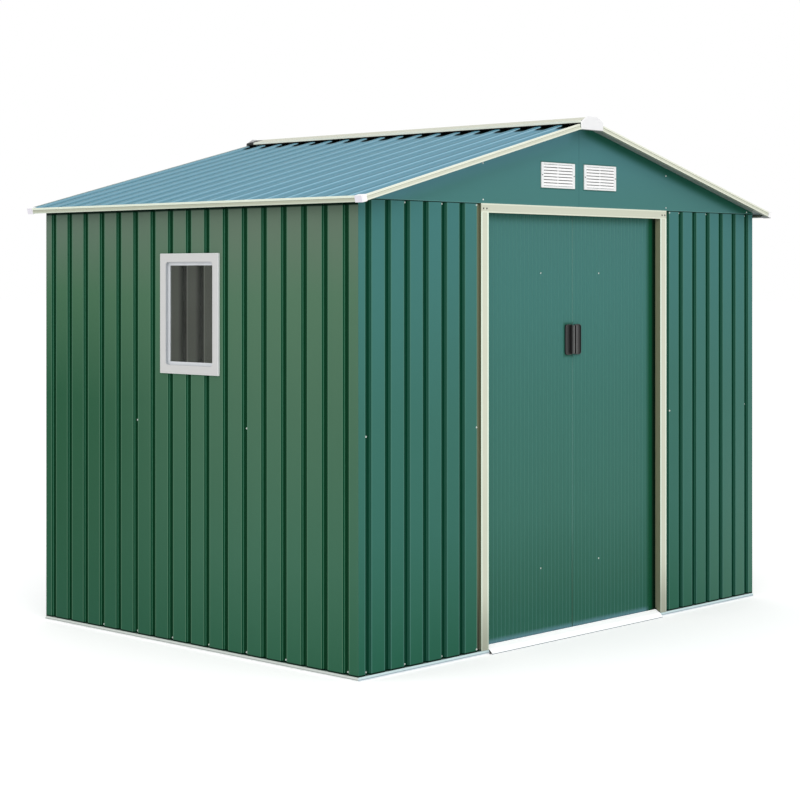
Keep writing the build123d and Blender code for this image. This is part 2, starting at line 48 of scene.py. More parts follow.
def tone(red, green, blue):
    # sRGB screen colour, 0 to 255, to the linear colour that the shaders take
    parts = [c / 255 for c in (red, green, blue)]
    linear = [c / 12.92 if c <= 0.04045 else ((c + 0.055) / 1.055) ** 2.4 for c in parts]
    return (*linear, 1.0)


class Wire:
    def __init__(self, tree, socket=None):
        self.tree = tree
        self.socket = socket

    def node(self, kind, settings=None, sockets=None, output=0):
        made = self.tree.nodes.new("ShaderNode" + kind)
        for key, value in (settings or {}).items():
            if key == "stops":
                ramp = made.color_ramp.elements
                while len(ramp) < len(value):
                    ramp.new(1.0)
                for stop, (place, colour) in zip(ramp, value):
                    stop.position = place
                    stop.color = colour
            else:
                setattr(made, key, value)
        for key, value in (sockets or {}).items():
            if isinstance(value, Wire):
                self.tree.links.new(value.socket, made.inputs[key])
            else:
                made.inputs[key].default_value = value
        return Wire(self.tree, made.outputs[output])

    def math(self, operation, first, second=0.0):
        return self.node("Math", {"operation": operation}, {0: first, 1: second})

    def __add__(self, other):
        return self.math("ADD", self, other)

    __radd__ = __add__

    def __sub__(self, other):
        return self.math("SUBTRACT", self, other)

    def __rsub__(self, other):
        return self.math("SUBTRACT", other, self)

    def __mul__(self, other):
        return self.math("MULTIPLY", self, other)

    __rmul__ = __mul__

    def __truediv__(self, other):
        return self.math("DIVIDE", self, other)

    def __rtruediv__(self, other):
        return self.math("DIVIDE", other, self)

    def __abs__(self):
        return self.math("ABSOLUTE", self)

    def larger(self, other):
        return self.math("MAXIMUM", self, other)

    def step(self, low, high):
        # smooth 0 to 1 between low and high, or 1 to 0 where low is the larger
        return self.node(
            "MapRange",
            {"interpolation_type": "SMOOTHSTEP"},
            {"Value": self, "From Min": low, "From Max": high},
        )

    def band(self, low, high, soft):
        return self.step(low - soft, low + soft) * self.step(high + soft, high - soft)

    def fromNearest(self, start, pitch):
        # signed distance from the nearest of a row of places
        return (self.math("FRACT", (self - start) / pitch + 0.5) - 0.5) * pitch

    def ramp(self, stops):
        return self.node("ValToRGB", {"stops": stops}, {0: self})

    def mix(self, first, second):
        # self is the factor; 6, 7 and output 2 are the Mix node's colours
        return self.node("Mix", {"data_type": "RGBA"}, {0: self, 6: first, 7: second}, output=2)


def startMaterial(name, spec):
    material = bpy.data.materials.new(name)
    material.use_nodes = True
    tree = material.node_tree
    tree.nodes.clear()
    shader = tree.nodes.new("ShaderNodeBsdfPrincipled")
    output = tree.nodes.new("ShaderNodeOutputMaterial")
    tree.links.new(shader.outputs[0], output.inputs[0])
    shader.inputs["Roughness"].default_value = spec["roughness"]
    shader.inputs["Metallic"].default_value = spec.get("metallic", 0.0)
    shader.inputs["Specular IOR Level"].default_value = spec.get("specular", 0.5)
    wire = Wire(tree)
    return material, shader, wire, wire.node("TexCoord", output="Object")


def feed(shader, name, wire):
    wire.tree.links.new(wire.socket, shader.inputs[name])


def axes(wire, vector):
    return [wire.node("SeparateXYZ", sockets={0: vector}, output=axis) for axis in "XYZ"]


def facing(wire):
    return axes(wire, wire.node("TexCoord", output="Normal"))


def noise(wire, place, scale, detail=3.0):
    return wire.node("TexNoise", sockets={"Vector": place, "Scale": scale, "Detail": detail})


def flakes(wire, place, scale):
    return wire.node("TexVoronoi", sockets={"Vector": place, "Scale": scale})


def sway(cloud, reach):
    # noise, which lies about 0.5, as a shift to either side
    return (cloud - 0.5) * reach


turnSoft = 0.02  # how sharply a normal counts as turned to the other side
coatGrain = {"scale": 500.0, "detail": 2.0, "gloss": 0.1, "bump": 0.05, "depth": 0.3 * mm}
peelGrain = {"scale": 900.0, "detail": 2.0, "gloss": 0.08, "bump": 0.06, "depth": 0.4 * mm}
glossDrift = 0.1


def coatFinish(shader, wire, place, roughness, grainSpec=coatGrain, drift=0.0):
    # fine grain in the gloss and in the bump
    grain = noise(wire, place, grainSpec["scale"], grainSpec["detail"])
    middle = roughness - grainSpec["gloss"] / 2
    feed(shader, "Roughness", grain * grainSpec["gloss"] + (middle + drift))
    lift = {"Height": grain, "Strength": grainSpec["bump"], "Distance": grainSpec["depth"]}
    feed(shader, "Normal", wire.node("Bump", sockets=lift))


def paintFinish(shader, wire, place, roughness, cloud):
    # orange peel of sprayed paint, and gloss that drifts a little over the sheet
    coatFinish(shader, wire, place, roughness, peelGrain, sway(cloud, glossDrift))


def paintNode(name, material):
    mesh = nodes[name].data
    mesh.materials.clear()
    mesh.materials.append(material)


def newPiece(name, mesh, material, body):
    data = bpy.data.meshes.new(name)
    mesh.to_mesh(data)
    mesh.free()
    data.materials.append(material)
    piece = bpy.data.objects.new(name, data)
    bpy.context.scene.collection.objects.link(piece)
    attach(piece, body)
    return piece


def joinInto(whole, part):
    # adds one bmesh to another and frees it
    data = bpy.data.meshes.new("joined")
    part.to_mesh(data)
    part.free()
    whole.from_mesh(data)
    bpy.data.meshes.remove(data)


def vertsOf(geom):
    return [v for v in geom if isinstance(v, bmesh.types.BMVert)]


def facesOf(geom):
    return [f for f in geom if isinstance(f, bmesh.types.BMFace)]


def softenEdges(mesh, edges, offset, segments):
    bmesh.ops.bevel(
        mesh, geom=edges, affect="EDGES", offset=offset, segments=segments, profile=0.5, material=-1
    )


# places taken from the CAD nodes
sheetPlan = {
    "slope": math.radians(14.4),
    "frontGrooves": 25,
    "sideStart": 58.0 * mm,
    "sidePitch": 100.0 * mm,
}
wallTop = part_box("front_wall_left")[1].z
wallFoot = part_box("front_wall_left")[0].z
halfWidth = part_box("right_wall")[1].x
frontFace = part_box("front_wall_left")[0].y
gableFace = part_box("front_gable_left")[0].y
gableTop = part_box("front_gable_left")[1].z
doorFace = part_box("left_door")[0].y
leafGap = (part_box("left_door")[1].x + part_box("right_door")[0].x) / 2
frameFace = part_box("door_header")[0].y
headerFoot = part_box("door_header")[0].z
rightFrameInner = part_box("right_jamb")[0].x
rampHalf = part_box("door_ramp")[1].x
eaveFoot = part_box("eave_trim_left")[0].z
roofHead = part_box("roof_left")[1]
roofSlope = sheetPlan["slope"]
ridgeLevel = roofHead.z - roofHead.x * math.tan(roofSlope)
frontGroovePitch = 2 * halfWidth / sheetPlan["frontGrooves"]
sideGrooveStart = frontFace + sheetPlan["sideStart"]
sideGroovePitch = sheetPlan["sidePitch"]
print("places read from the frame")

sheetSpec = {
    "cloud": 1.7,
    "sway": 0.16,
    "jointShade": tone(0, 30, 18),
    "footLine": 6.5 * mm,
    "footSoft": 2.0 * mm,
    "inside": tone(107, 111, 102),
    "insideDark": tone(22, 26, 20),
    "insideLight": tone(136, 140, 131),
    "darkFrom": (-44.0 * mm, -10.0 * mm),
    "darkTo": (4.0 * mm, 1.0 * mm),
    "lightAt": (2.5 * mm, 9.0 * mm),
    "roughness": 0.42,
    "specular": 0.06,
}
sideSpec = dict(
    sheetSpec,
    ramp=[
        (0.02, tone(46, 96, 72)),
        (0.22, tone(60, 104, 82)),
        (0.55, tone(70, 107, 84)),
        (0.80, tone(79, 113, 89)),
        (0.97, tone(95, 115, 98)),
    ],
    farRamp=[
        (0.02, tone(36, 87, 64)),
        (0.25, tone(33, 83, 57)),
        (0.55, tone(34, 84, 57)),
        (0.80, tone(64, 104, 76)),
        (0.97, tone(93, 114, 98)),
    ],
    farSway=0.3,
    farAt=(-0.45, 0.9),
    flank=tone(60, 114, 88),
    line=tone(10, 70, 45),
    floor=tone(0, 52, 27),
    edge=tone(80, 121, 97),
    headLine=(-10.0 * mm, -4.0 * mm),
    headLevel=eaveFoot,
)
backSpec = dict(
    sheetSpec,
    ramp=[
        (0.02, tone(38, 97, 76)),
        (0.12, tone(46, 102, 84)),
        (0.30, tone(54, 108, 95)),
        (0.55, tone(58, 111, 100)),
        (0.80, tone(63, 117, 111)),
        (0.97, tone(65, 119, 117)),
    ],
    flank=tone(40, 91, 74),
    lip=tone(44, 91, 77),
    line=tone(32, 82, 66),
    floor=tone(0, 56, 38),
    edge=tone(74, 125, 112),
    headLine=(-3.5 * mm, -2.0 * mm),
    headLevel=wallTop,
)
frontSpec = dict(
    backSpec,
    lift=tone(104, 144, 128),
    liftAlong=(0.5, 1.2),
    liftLevel=(0.9, 0.0),
    liftShare=0.3,
    frameBand=(-592.0 * mm, -500.0 * mm),
    frameTone=tone(112, 116, 92),
    frameFoot=tone(72, 72, 60),
    frameFootAt=(0.35, 0.05),
    frameLine=(-596.5 * mm, -592.5 * mm),
    frameLight=tone(106, 134, 114),
    frameSoft=0.7 * mm,
)
grooveSpec = {
    "half": 14.0 * mm,
    "edge": 3.5 * mm,
    "edgeShare": 0.8,
    "roll": 2.2 * mm,
    "soft": 1.0 * mm,
    "flankTurn": (0.3, 0.6),
    "lineDeep": (4.6 * mm, 3.8 * mm),
    "deep": (6.5 * mm, 8.0 * mm),
}


def sheetPaint(name, spec, across, outward, plane, start, pitch):
    # across is the axis through the sheet, outward its sign, plane the outer face
    material, shader, wire, place = startMaterial(name, spec)
    xyz = axes(wire, place)
    along, height = xyz[1 - across], xyz[2]
    normal = facing(wire)
    cloud = noise(wire, place, spec["cloud"])
    # painted reflection: the height ramp makes the sheet lighter and greyer towards the top; the
    # side walls' far ramp darkens their far end as painted shade
    level = (height + sway(cloud, spec["sway"])) / wallTop
    paint = level.ramp(spec["ramp"])
    if "farRamp" in spec:
        far = (along + sway(cloud, spec["farSway"])).step(*spec["farAt"])
        paint = far.mix(paint, level.ramp(spec["farRamp"]))
    if "lift" in spec:
        # the far end's foot lies in the light that the ground throws back
        lift = along.step(*spec["liftAlong"]) * level.step(*spec["liftLevel"])
        paint = (lift * spec["liftShare"]).mix(paint, spec["lift"])
    fromGroove = along.fromNearest(start, pitch)
    aside = abs(fromGroove)
    brink, soft = grooveSpec["half"], grooveSpec["soft"]
    if "lip" in spec:
        # painted shade on the far edge's bend, which rolls into the flat, so its painted highlight
        # line lies further out
        roll = grooveSpec["roll"]
        paint = fromGroove.band(brink - roll, brink + roll, soft).mix(paint, spec["lip"])
        aside = aside - fromGroove.step(-soft, soft) * roll
    # painted highlight beside each groove; painted light and shade on its flanks, painted shade
    # along the fold line and on its floor
    beside = aside.band(brink, brink + grooveSpec["edge"], soft)
    paint = (beside * grooveSpec["edgeShare"]).mix(paint, spec["edge"])
    recess = (plane - xyz[across]) * outward
    flank = abs(normal[1 - across]).step(*grooveSpec["flankTurn"])
    paint = flank.mix(paint, spec["flank"])
    paint = (flank * recess.step(*grooveSpec["lineDeep"])).mix(paint, spec["line"])
    paint = recess.step(*grooveSpec["deep"]).mix(paint, spec["floor"])
    if "frameBand" in spec:
        # painted shade: where the frame's side turns in over the half covered groove, the wall
        # takes the olive of that shaded side, darker at the foot, with a painted highlight line
        # outside it
        lightLine = along.band(*spec["frameLine"], spec["frameSoft"])
        paint = lightLine.mix(paint, spec["frameLight"])
        turned = height.step(*spec["frameFootAt"]).mix(spec["frameTone"], spec["frameFoot"])
        paint = along.band(*spec["frameBand"], spec["frameSoft"]).mix(paint, turned)
    # painted shade: dark lines along the foot and along the head, under the eave or the gable's
    # lower edge
    footTop = wallFoot + spec["footLine"]
    foot = height.step(footTop, footTop - spec["footSoft"])
    head = (height - spec["headLevel"]).step(*spec["headLine"])
    paint = foot.larger(head).mix(paint, spec["jointShade"])
    # painted shade on the lining beside each inward rib, and a painted highlight line along the rib
    shade = fromGroove.step(*spec["darkFrom"]) * fromGroove.step(*spec["darkTo"])
    lining = shade.mix(spec["inside"], spec["insideDark"])
    lining = fromGroove.band(*spec["lightAt"], soft).mix(lining, spec["insideLight"])
    inner = (normal[across] * outward).step(turnSoft, -turnSoft)
    feed(shader, "Base Color", inner.mix(paint, lining))
    paintFinish(shader, wire, place, spec["roughness"], cloud)
    return material


for side, outward in (("left", -1), ("right", 1)):
    plane = outward * halfWidth
    sideGreen = sheetPaint(
        side + "WallPaint", sideSpec, 0, outward, plane, sideGrooveStart, sideGroovePitch
    )
    paintNode(side + "_wall", sideGreen)
frontGreen = sheetPaint("frontWallPaint", frontSpec, 1, -1, frontFace, 0.0, frontGroovePitch)
paintNode("front_wall_left", frontGreen)
paintNode("front_wall_right", frontGreen)
backGreen = sheetPaint("backWallPaint", backSpec, 1, 1, -frontFace, 0.0, frontGroovePitch)
paintNode("back_wall", backGreen)
print("wall sheets painted")

gableSpec = {
    "cloud": 1.7,
    "sway": 0.1,
    "low": tone(70, 122, 119),
    "high": tone(74, 126, 129),
    "rise": 0.25,
    "lift": tone(91, 146, 157),
    "liftReach": (80.0 * mm, 8.0 * mm),
    "liftSide": (-20.0 * mm, -80.0 * mm),
    "shade": tone(18, 80, 58),
    "shadeReach": (56.0 * mm, 14.0 * mm),
    "shadeSide": (-30.0 * mm, 60.0 * mm),
    "shadeShare": 0.86,
    "outlineShare": 0.55,
    "seam": tone(48, 98, 98),
    "seamHalf": (1.8 * mm, 0.6 * mm),
    "seamShare": 0.8,
    "foot": tone(88, 136, 132),
    "footRise": (4.0 * mm, 2.0 * mm),
    "footShare": 0.6,
    "inside": tone(104, 108, 99),
    "roughness": 0.42,
    "specular": 0.06,
}
ventSpec = {
    "centre": 130.5 * mm,
    "level": 1735.5 * mm,
    "half": (101.5 * mm, 47.5 * mm),
    "outline": 7.0 * mm,
}


def outsideVents(xyz, border=(0.0, 0.0)):
    # distance from the vents' outlines, or from a border within them; negative inside
    half = ventSpec["half"]
    sideways = abs(abs(xyz[0]) - ventSpec["centre"]) - (half[0] - border[0])
    upwards = abs(xyz[2] - ventSpec["level"]) - (half[1] - border[1])
    return sideways.larger(upwards)


def gablePaint(name, spec, outward):
    material, shader, wire, place = startMaterial(name, spec)
    xyz = axes(wire, place)
    normal = facing(wire)
    cloud = noise(wire, place, spec["cloud"])
    risen = (xyz[2] + sway(cloud, spec["sway"])).step(wallTop, wallTop + spec["rise"])
    paint = risen.mix(spec["low"], spec["high"])
    # light under the left rake, soft shade under the right one
    below = (gableTop - abs(xyz[0]) * math.tan(roofSlope)) - xyz[2]
    lit = below.step(*spec["liftReach"]) * xyz[0].step(*spec["liftSide"])
    paint = lit.mix(paint, spec["lift"])
    depth = xyz[0].step(*spec["shadeSide"]) * spec["shadeShare"]
    paint = (below.step(*spec["shadeReach"]) * depth).mix(paint, spec["shade"])
    # painted shade around the vents
    outline = outsideVents(xyz).step(ventSpec["outline"], 0.0) * spec["outlineShare"]
    paint = outline.mix(paint, spec["shade"])
    seam = abs(xyz[0]).step(*spec["seamHalf"]) * spec["seamShare"]
    paint = seam.mix(paint, spec["seam"])
    # painted highlight along the gable's lower edge
    foot = (xyz[2] - wallTop).step(*spec["footRise"]) * spec["footShare"]
    paint = foot.mix(paint, spec["foot"])
    inner = (normal[1] * outward).step(turnSoft, -turnSoft)
    feed(shader, "Base Color", inner.mix(paint, spec["inside"]))
    paintFinish(shader, wire, place, spec["roughness"], cloud)
    return material


for end, outward in (("front", -1), ("back", 1)):
    gableGreen = gablePaint(end + "GablePaint", gableSpec, outward)
    paintNode(end + "_gable_left", gableGreen)
    paintNode(end + "_gable_right", gableGreen)
print("gables painted")

doorSpec = {
    "cloud": 1.7,
    "sway": 0.16,
    "ramp": [
        (0.05, tone(42, 96, 80)),
        (0.12, tone(48, 100, 84)),
        (0.30, tone(58, 110, 97)),
        (0.55, tone(60, 113, 103)),
        (0.80, tone(64, 118, 112)),
        (0.97, tone(67, 118, 114)),
    ],
    "rib": tone(80, 130, 121),
    "ribDeep": (0.2 * mm, 1.4 * mm),
    "ribShare": 0.6,
    "foot": tone(97, 139, 150),
    "footRise": (52.0 * mm, 28.0 * mm),
    "edge": tone(142, 222, 210),
    "edgeFoot": tone(80, 152, 130),
    "edgeRise": (0.1, 0.5),
    "edgeTurn": (0.7, 0.95),
    "shade": tone(8, 72, 46),
    "headShade": (40.0 * mm, 0.0),
    "headShare": 0.5,
    "sideShade": (74.0 * mm, 34.0 * mm),
    "handleShade": (14.0 * mm, 0.0),
    "handleShare": 0.6,
    "dark": tone(0, 24, 11),
    "sideDark": (30.0 * mm, 12.0 * mm),
    "inside": tone(104, 108, 99),
    "roughness": 0.42,
    "specular": 0.06,
}


def doorPaint(name, spec):
    material, shader, wire, place = startMaterial(name, spec)
    xyz = axes(wire, place)
    normal = facing(wire)
    cloud = noise(wire, place, spec["cloud"])
    # painted reflection: the height ramp makes the leaves lighter towards the top
    paint = ((xyz[2] + sway(cloud, spec["sway"])) / wallTop).ramp(spec["ramp"])
    # painted highlight in the fine ribs' grooves
    rib = (xyz[1] - doorFace).step(*spec["ribDeep"]) * spec["ribShare"]
    paint = rib.mix(paint, spec["rib"])
    # painted light: a lighter, bluer band along the foot
    paint = xyz[2].step(*spec["footRise"]).mix(paint, spec["foot"])
    # painted highlight on the leaves' side edges, darker towards the foot
    edgeTone = xyz[2].step(*spec["edgeRise"]).mix(spec["edgeFoot"], spec["edge"])
    paint = abs(normal[0]).step(*spec["edgeTurn"]).mix(paint, edgeTone)
    # shade under the header, beside the right jamb and behind the left handle
    head = (headerFoot - xyz[2]).step(*spec["headShade"]) * spec["headShare"]
    toFrame = rightFrameInner - xyz[0]
    low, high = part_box("left_door_handle")
    middle, half = (low + high) / 2, (high - low) / 2
    aside = (low.x - xyz[0]).larger(abs(xyz[2] - middle.z) - half.z).larger(xyz[0] - high.x)
    behind = aside.step(*spec["handleShade"]) * spec["handleShare"]
    shade = head.larger(toFrame.step(*spec["sideShade"])).larger(behind)
    paint = shade.mix(paint, spec["shade"])
    paint = toFrame.step(*spec["sideDark"]).mix(paint, spec["dark"])
    inner = normal[1].step(-turnSoft, turnSoft)
    feed(shader, "Base Color", inner.mix(paint, spec["inside"]))
    paintFinish(shader, wire, place, spec["roughness"], cloud)
    return material


doorGreen = doorPaint("doorPaint", doorSpec)
paintNode("left_door", doorGreen)
paintNode("right_door", doorGreen)
print("doors painted")

roofSpec = {
    "cloud": 1.4,
    "sway": 0.5,
    "back": tone(74, 128, 145),
    "front": tone(88, 140, 160),
    "run": (0.9, -0.9),
    "flank": tone(124, 166, 182),
    "flankTurn": (0.3, 0.6),
    "flankTop": tone(137, 179, 195),
    "flankTopAt": (-5.5 * mm, -3.0 * mm),
    "flankFront": tone(156, 197, 213),
    "forwardAt": (0.7, -0.9),
    "crest": tone(56, 121, 140),
    "crestAt": (-2.0 * mm, -0.2 * mm),
    "crestShare": (0.3, 0.6),
    "underCap": tone(2, 16, 14),
    "capEdge": (66.0 * mm, 60.0 * mm),
    "capShade": (112.0 * mm, 84.0 * mm),
    "valleyAt": (-2.5 * mm, -5.0 * mm),
    "underside": tone(84, 92, 88),
    "gableUnderside": tone(122, 134, 129),
    "eaveUnderside": tone(112, 125, 126),
    "wallSoft": 2.0 * mm,
    "roughness": 0.4,
    "specular": 0.08,
}


def squareToRoof(xyz, side, level):
    # how far a place stands over the slope that starts at level, or a normal out of it
    return (xyz[2] - level) * math.cos(roofSlope) + xyz[0] * (side * math.sin(roofSlope))


def roofPaint(name, spec, side):
    material, shader, wire, place = startMaterial(name, spec)
    xyz = axes(wire, place)
    normal = facing(wire)
    cloud = noise(wire, place, spec["cloud"])
    run = (xyz[1] + sway(cloud, spec["sway"])).step(*spec["run"])
    paint = run.mix(spec["back"], spec["front"])
    height = squareToRoof(xyz, side, ridgeLevel)
    # painted light on the ribs' flanks, brighter towards the front, and painted shade along the
    # crests
    forward = xyz[1].step(*spec["forwardAt"])
    topTone = forward.mix(spec["flankTop"], spec["flankFront"])
    flankTone = height.step(*spec["flankTopAt"]).mix(spec["flank"], topTone)
    paint = abs(normal[1]).step(*spec["flankTurn"]).mix(paint, flankTone)
    farShare, nearGain = spec["crestShare"]
    crest = height.step(*spec["crestAt"]) * (forward * nearGain + farShare)
    paint = crest.mix(paint, spec["crest"])
    # painted shade: the valleys run on dark under the ridge cap
    fromRidge = abs(xyz[0])
    valley = fromRidge.step(*spec["capShade"]) * height.step(*spec["valleyAt"])
    paint = valley.larger(fromRidge.step(*spec["capEdge"])).mix(paint, spec["underCap"])
    # painted light on the undersides of the overhangs, lighter than the underside inside
    soft = spec["wallSoft"]
    beyond = abs(xyz[1]).step(-frontFace - soft, -frontFace + soft)
    lining = beyond.mix(spec["underside"], spec["gableUnderside"])
    outside = fromRidge.step(halfWidth - soft, halfWidth + soft)
    lining = outside.mix(lining, spec["eaveUnderside"])
    under = normal[2].step(turnSoft, -turnSoft)
    feed(shader, "Base Color", under.mix(paint, lining))
    paintFinish(shader, wire, place, spec["roughness"], cloud)
    return material


for side, sign in (("left", -1), ("right", 1)):
    paintNode("roof_" + side, roofPaint(side + "RoofPaint", roofSpec, sign))
print("roof painted")

trimSpec = {
    "cloud": 3.0,
    "lip": tone(232, 235, 218),
    "lowLip": tone(226, 230, 213),
    "lipHeight": 4.5 * mm,
    "height": 18.0 * mm,
    "face": tone(208, 211, 192),
    "faceShare": (0.9, 0.16),
    "faceSoft": 0.8 * mm,
    "foot": tone(140, 144, 130),
    "footTurn": (-0.3, -0.8),
    "roughness": 0.45,
    "specular": 0.3,
}
# the eave trims' copy is darker all over, as painted shade
eaveSpec = dict(
    trimSpec,
    lip=tone(222, 230, 212),
    lowLip=tone(194, 202, 184),
    face=tone(178, 182, 162),
    foot=tone(66, 74, 70),
)
backRakeSpec = dict(trimSpec, top=tone(84, 112, 118), topTurn=(0.5, 0.9))


def trimPaint(name, spec, side):
    material, shader, wire, place = startMaterial(name, spec)
    cloud = noise(wire, place, spec["cloud"])
    height = squareToRoof(axes(wire, place), side, ridgeLevel)
    # painted highlight on the lips, which are lighter than the face
    lips = height.step(-spec["height"] / 2, -spec["lipHeight"]).mix(spec["lowLip"], spec["lip"])
    lowEdge, highEdge = spec["lipHeight"] - spec["height"], -spec["lipHeight"]
    leastShare, gain = spec["faceShare"]
    face = height.band(lowEdge, highEdge, spec["faceSoft"]) * (cloud * gain + leastShare)
    paint = face.mix(lips, spec["face"])
    # painted shade on the faces that look down
    upwards = squareToRoof(facing(wire), side, 0.0)
    paint = upwards.step(*spec["footTurn"]).mix(paint, spec["foot"])
    # painted shade: the back rakes' top lap is darker
    if "top" in spec:
        paint = upwards.step(*spec["topTurn"]).mix(paint, spec["top"])
    feed(shader, "Base Color", paint)
    coatFinish(shader, wire, place, spec["roughness"])
    return material


for side, sign in (("left", -1), ("right", 1)):
    paintNode("front_rake_trim_" + side, trimPaint(side + "RakeCream", trimSpec, sign))
    paintNode("back_rake_trim_" + side, trimPaint(side + "BackRakeCream", backRakeSpec, sign))
    paintNode("eave_trim_" + side, trimPaint(side + "EaveCream", eaveSpec, sign))

capSpec = {
    "cloud": 3.0,
    "top": tone(198, 200, 182),
    "lip": tone(234, 238, 224),
    "half": 66.0 * mm,
    "lipWidth": (1.5 * mm, 0.5 * mm),
    "lipHighlightNoise": 0.1,
    "inside": tone(12, 16, 14),
    "insideTurn": (0.1, -0.1),
    "shadowRise": (3.2 * mm, 2.2 * mm),
    "tail": (46.0 * mm, 38.0 * mm),
    "tailSide": (-4.0 * mm, -8.0 * mm),
    "roughness": 0.45,
    "specular": 0.3,
}


def ridgeCapPaint(name, spec):
    material, shader, wire, place = startMaterial(name, spec)
    xyz = axes(wire, place)
    normal = facing(wire)
    cloud = noise(wire, place, spec["cloud"])
    # painted highlight along the lip, broken up by noise
    lip = (spec["half"] - abs(xyz[0])).step(*spec["lipWidth"])
    paint = (lip * (1.0 - cloud * spec["lipHighlightNoise"])).mix(spec["top"], spec["lip"])
    # painted shade along the foot, and on the left of the far end
    low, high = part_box("ridge_cap")
    paint = (xyz[2] - low.z).step(*spec["shadowRise"]).mix(paint, spec["inside"])
    tail = (high.y - xyz[1]).step(*spec["tail"]) * xyz[0].step(*spec["tailSide"])
    paint = tail.mix(paint, spec["inside"])
    # painted shade on the faces that look down
    inner = (normal[2] + abs(normal[0])).step(*spec["insideTurn"])
    feed(shader, "Base Color", inner.mix(paint, spec["inside"]))
    coatFinish(shader, wire, place, spec["roughness"])
    return material


paintNode("ridge_cap", ridgeCapPaint("ridgeCapCream", capSpec))

frameSpec = {
    "cloud": 3.0,
    "cloudShare": 0.3,
    "face": tone(209, 212, 193),
    "edge": tone(236, 250, 233),
    "edgeWidth": 8.0 * mm,
    "edgeSoft": 3.0 * mm,
    "turnTone": tone(128, 132, 105),
    "turn": (0.4, 0.7),
    "footShade": tone(120, 124, 106),
    "footShadeRise": (260.0 * mm, 20.0 * mm),
    "footShadeShare": 0.55,
    "inside": tone(150, 152, 138),
    "insideTurn": (0.3, 0.6),
    "roughness": 0.45,
    "specular": 0.25,
}
leftFrameSpec = dict(frameSpec, turnTone=tone(108, 112, 88))
headerSpec = dict(
    frameSpec,
    face=tone(205, 208, 189),
    edge=tone(223, 228, 209),
    edgeWidth=6.0 * mm,
)
hemSpec = {
    "from": 16.0 * mm,
    "gap": 1.5 * mm,
    "sheet": 0.8 * mm,
    "turn": 3.5 * mm,
    "foot": 34.0 * mm,
}


def framePaint(name, spec, axis, low, high):
    # light folds along both edges of the face, olive shade on the folds that turn in
    material, shader, wire, place = startMaterial(name, spec)
    xyz = axes(wire, place)
    normal = facing(wire)
    cloud = noise(wire, place, spec["cloud"])
    inset = spec["edgeWidth"] - spec["edgeSoft"]
    edge = xyz[axis].step(low + spec["edgeWidth"], low + inset)
    edge = edge.larger(xyz[axis].step(high - spec["edgeWidth"], high - inset))
    paint = edge.mix(spec["face"], spec["edge"])
    paint = sway(cloud, spec["cloudShare"]).mix(paint, spec["edge"])
    turned = abs(normal[0]) if axis == 0 else 0.0 - normal[2]
    paint = turned.step(*spec["turn"]).mix(paint, spec["turnTone"])
    # painted shade towards the foot
    footShade = xyz[2].step(*spec["footShadeRise"]) * spec["footShadeShare"]
    paint = footShade.mix(paint, spec["footShade"])
    inner = normal[1].step(*spec["insideTurn"])
    feed(shader, "Base Color", inner.mix(paint, spec["inside"]))
    coatFinish(shader, wire, place, spec["roughness"])
    return material


for side, sign, spec in (("left", -1, leftFrameSpec), ("right", 1, frameSpec)):
    low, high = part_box(side + "_jamb")
    jambCream = framePaint(side + "JambCream", spec, 0, low.x, high.x)
    paintNode(side + "_jamb", jambCream)
    # hem that carries the jamb's inner fold back to the leaf
    inner = sign * rightFrameInner
    start, stop, thick = frontFace + hemSpec["from"], doorFace - hemSpec["gap"], hemSpec["sheet"]
    outline = [
        (inner, start),
        (inner, stop),
        (inner + sign * hemSpec["turn"], stop),
        (inner + sign * hemSpec["turn"], stop - thick),
        (inner + sign * thick, stop - thick),
        (inner + sign * thick, start),
    ]
    hem = bmesh.new()
    sole = hem.faces.new([hem.verts.new((x, y, hemSpec["foot"])) for x, y in outline])
    grown = bmesh.ops.extrude_face_region(hem, geom=[sole])["geom"]
    bmesh.ops.translate(hem, vec=(0, 0, headerFoot - hemSpec["foot"]), verts=vertsOf(grown))
    bmesh.ops.recalc_face_normals(hem, faces=hem.faces)
    newPiece(side + "JambHem", hem, jambCream, "shed")
low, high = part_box("door_header")
paintNode("door_header", framePaint("headerCream", headerSpec, 2, low.z, high.z))
print("trims and door frame painted")

zincSpec = {
    "flakes": 60.0,
    "zinc": tone(196, 200, 200),
    "spangle": tone(168, 174, 176),
    "spangleAt": (0.1, 0.9),
    "metallic": 0.35,
    "roughness": 0.4,
}
railSpec = {
    "flakes": 60.0,
    "flakeAt": (0.2, 0.9),
    "flakeShare": 0.1,
    "white": tone(252, 254, 254),
    "low": tone(216, 226, 234),
    "lowAt": (2.0 * mm, 6.0 * mm),
    "bend": tone(158, 176, 186),
    "bendAt": (6.0 * mm, 8.8 * mm),
    "bendSoft": 0.7 * mm,
    "slope": tone(208, 229, 231),
    "shelf": tone(120, 142, 138),
    "shelfAt": (14.8 * mm, 15.8 * mm),
    "underRamp": tone(8, 10, 10),
    "underSoft": 2.0 * mm,
    "underFrom": (0.0, -0.5),
    "roughness": 0.42,
    "specular": 0.3,
}
sideRailSpec = dict(
    railSpec,
    low=tone(244, 246, 244),
    bend=tone(150, 157, 153),
    slope=tone(200, 206, 201),
    shelf=tone(120, 138, 128),
)
rampSpec = {
    "white": tone(252, 253, 253),
    "sheenAndScuff": tone(206, 211, 211),
    "scuffScale": 14.0,
    "scuffDetail": 4.0,
    "scuffAt": (0.55, 0.8),
    "sheenAndScuffShare": 0.12,
    "nose": tone(160, 167, 173),
    "noseHeight": (3.5 * mm, 2.5 * mm),
    "under": tone(14, 14, 15),
    "underLean": (0.8, 0.6),
    "underTurn": (-0.1, -0.3),
    "endTurn": (0.5, 0.8),
    "glow": (0.19, 0.19, 0.19, 1.0),
    "black": (0.0, 0.0, 0.0, 1.0),
    "roughness": 0.4,
    "specular": 0.3,
}


